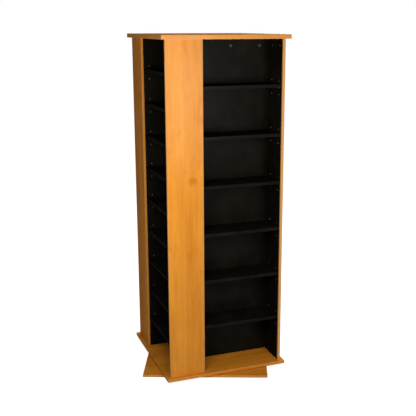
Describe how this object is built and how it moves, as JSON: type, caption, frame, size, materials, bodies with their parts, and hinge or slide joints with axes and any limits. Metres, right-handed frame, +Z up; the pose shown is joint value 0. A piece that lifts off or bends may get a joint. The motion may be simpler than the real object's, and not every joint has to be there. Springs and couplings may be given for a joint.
{
  "type": "rotating media tower",
  "caption": "Tall four-sided storage tower of shelved bays in a pinwheel, wood outside and black inside, turning on a ball-bearing turntable over a square base board.",
  "frame": {"origin": "on the turning axis at floor level, at the middle of the base board's underside", "axes": "+Z up along the turning axis; the tower's four faces lie along X and Y at rest, and the front bay opens towards -Y"},
  "size_m": [0.8008, 0.8008, 1.656],
  "materials": {
    "wood_laminate": "satin",
    "black_laminate": "satin",
    "beech_dowel": "matte",
    "zinc_steel": "satin",
    "cage_plastic": "matte"
  },
  "bodies": {
    "base": {"base_board": "wood_laminate", "bearing_lower_plate": "zinc_steel", "base_plate_screws": "zinc_steel"},
    "ball_ring": {"bearing_cage": "cage_plastic", "bearing_balls": "zinc_steel"},
    "tower": {"bottom_panel": "wood_laminate", "top_panel": "wood_laminate", "bearing_upper_plate": "zinc_steel", "deck_plate_screws": "zinc_steel", "bottom_panel_screws": "zinc_steel", "front_bay_back_panel": "wood_laminate", "front_bay_side_panel": "wood_laminate", "front_bay_shelf_1": "black_laminate", "front_bay_shelf_2": "black_laminate", "front_bay_shelf_3": "black_laminate", "front_bay_shelf_4": "black_laminate", "front_bay_shelf_5": "black_laminate", "front_bay_shelf_6": "black_laminate", "front_bay_shelf_supports": "zinc_steel", "right_bay_back_panel": "wood_laminate", "right_bay_side_panel": "wood_laminate", "right_bay_shelf_1": "black_laminate", "right_bay_shelf_2": "black_laminate", "right_bay_shelf_3": "black_laminate", "right_bay_shelf_4": "black_laminate", "right_bay_shelf_5": "black_laminate", "right_bay_shelf_6": "black_laminate", "right_bay_shelf_supports": "zinc_steel", "back_bay_back_panel": "wood_laminate", "back_bay_side_panel": "wood_laminate", "back_bay_shelf_1": "black_laminate", "back_bay_shelf_2": "black_laminate", "back_bay_shelf_3": "black_laminate", "back_bay_shelf_4": "black_laminate", "back_bay_shelf_5": "black_laminate", "back_bay_shelf_6": "black_laminate", "back_bay_shelf_supports": "zinc_steel", "left_bay_back_panel": "wood_laminate", "left_bay_side_panel": "wood_laminate", "left_bay_shelf_1": "black_laminate", "left_bay_shelf_2": "black_laminate", "left_bay_shelf_3": "black_laminate", "left_bay_shelf_4": "black_laminate", "left_bay_shelf_5": "black_laminate", "left_bay_shelf_6": "black_laminate", "left_bay_shelf_7": "black_laminate", "left_bay_shelf_8": "black_laminate", "left_bay_shelf_9": "black_laminate", "left_bay_shelf_supports": "zinc_steel", "joint_dowels": "beech_dowel", "cam_locks": "zinc_steel", "cam_bolts": "zinc_steel"}
  },
  "joints": [
    {"name": "tower_spin", "type": "hinge", "parent": "base", "child": "tower", "pos_m": [0, 0, 0.012], "axis": [0, 0, 1], "continuous": true},
    {"name": "ball_ring_spin", "type": "hinge", "parent": "base", "child": "ball_ring", "pos_m": [0, 0, 0.012], "axis": [0, 0, 1], "continuous": true}
  ],
  "couplings": [
    {"joint": "ball_ring_spin", "follows": "tower_spin", "ratio": 0.5}
  ]
}
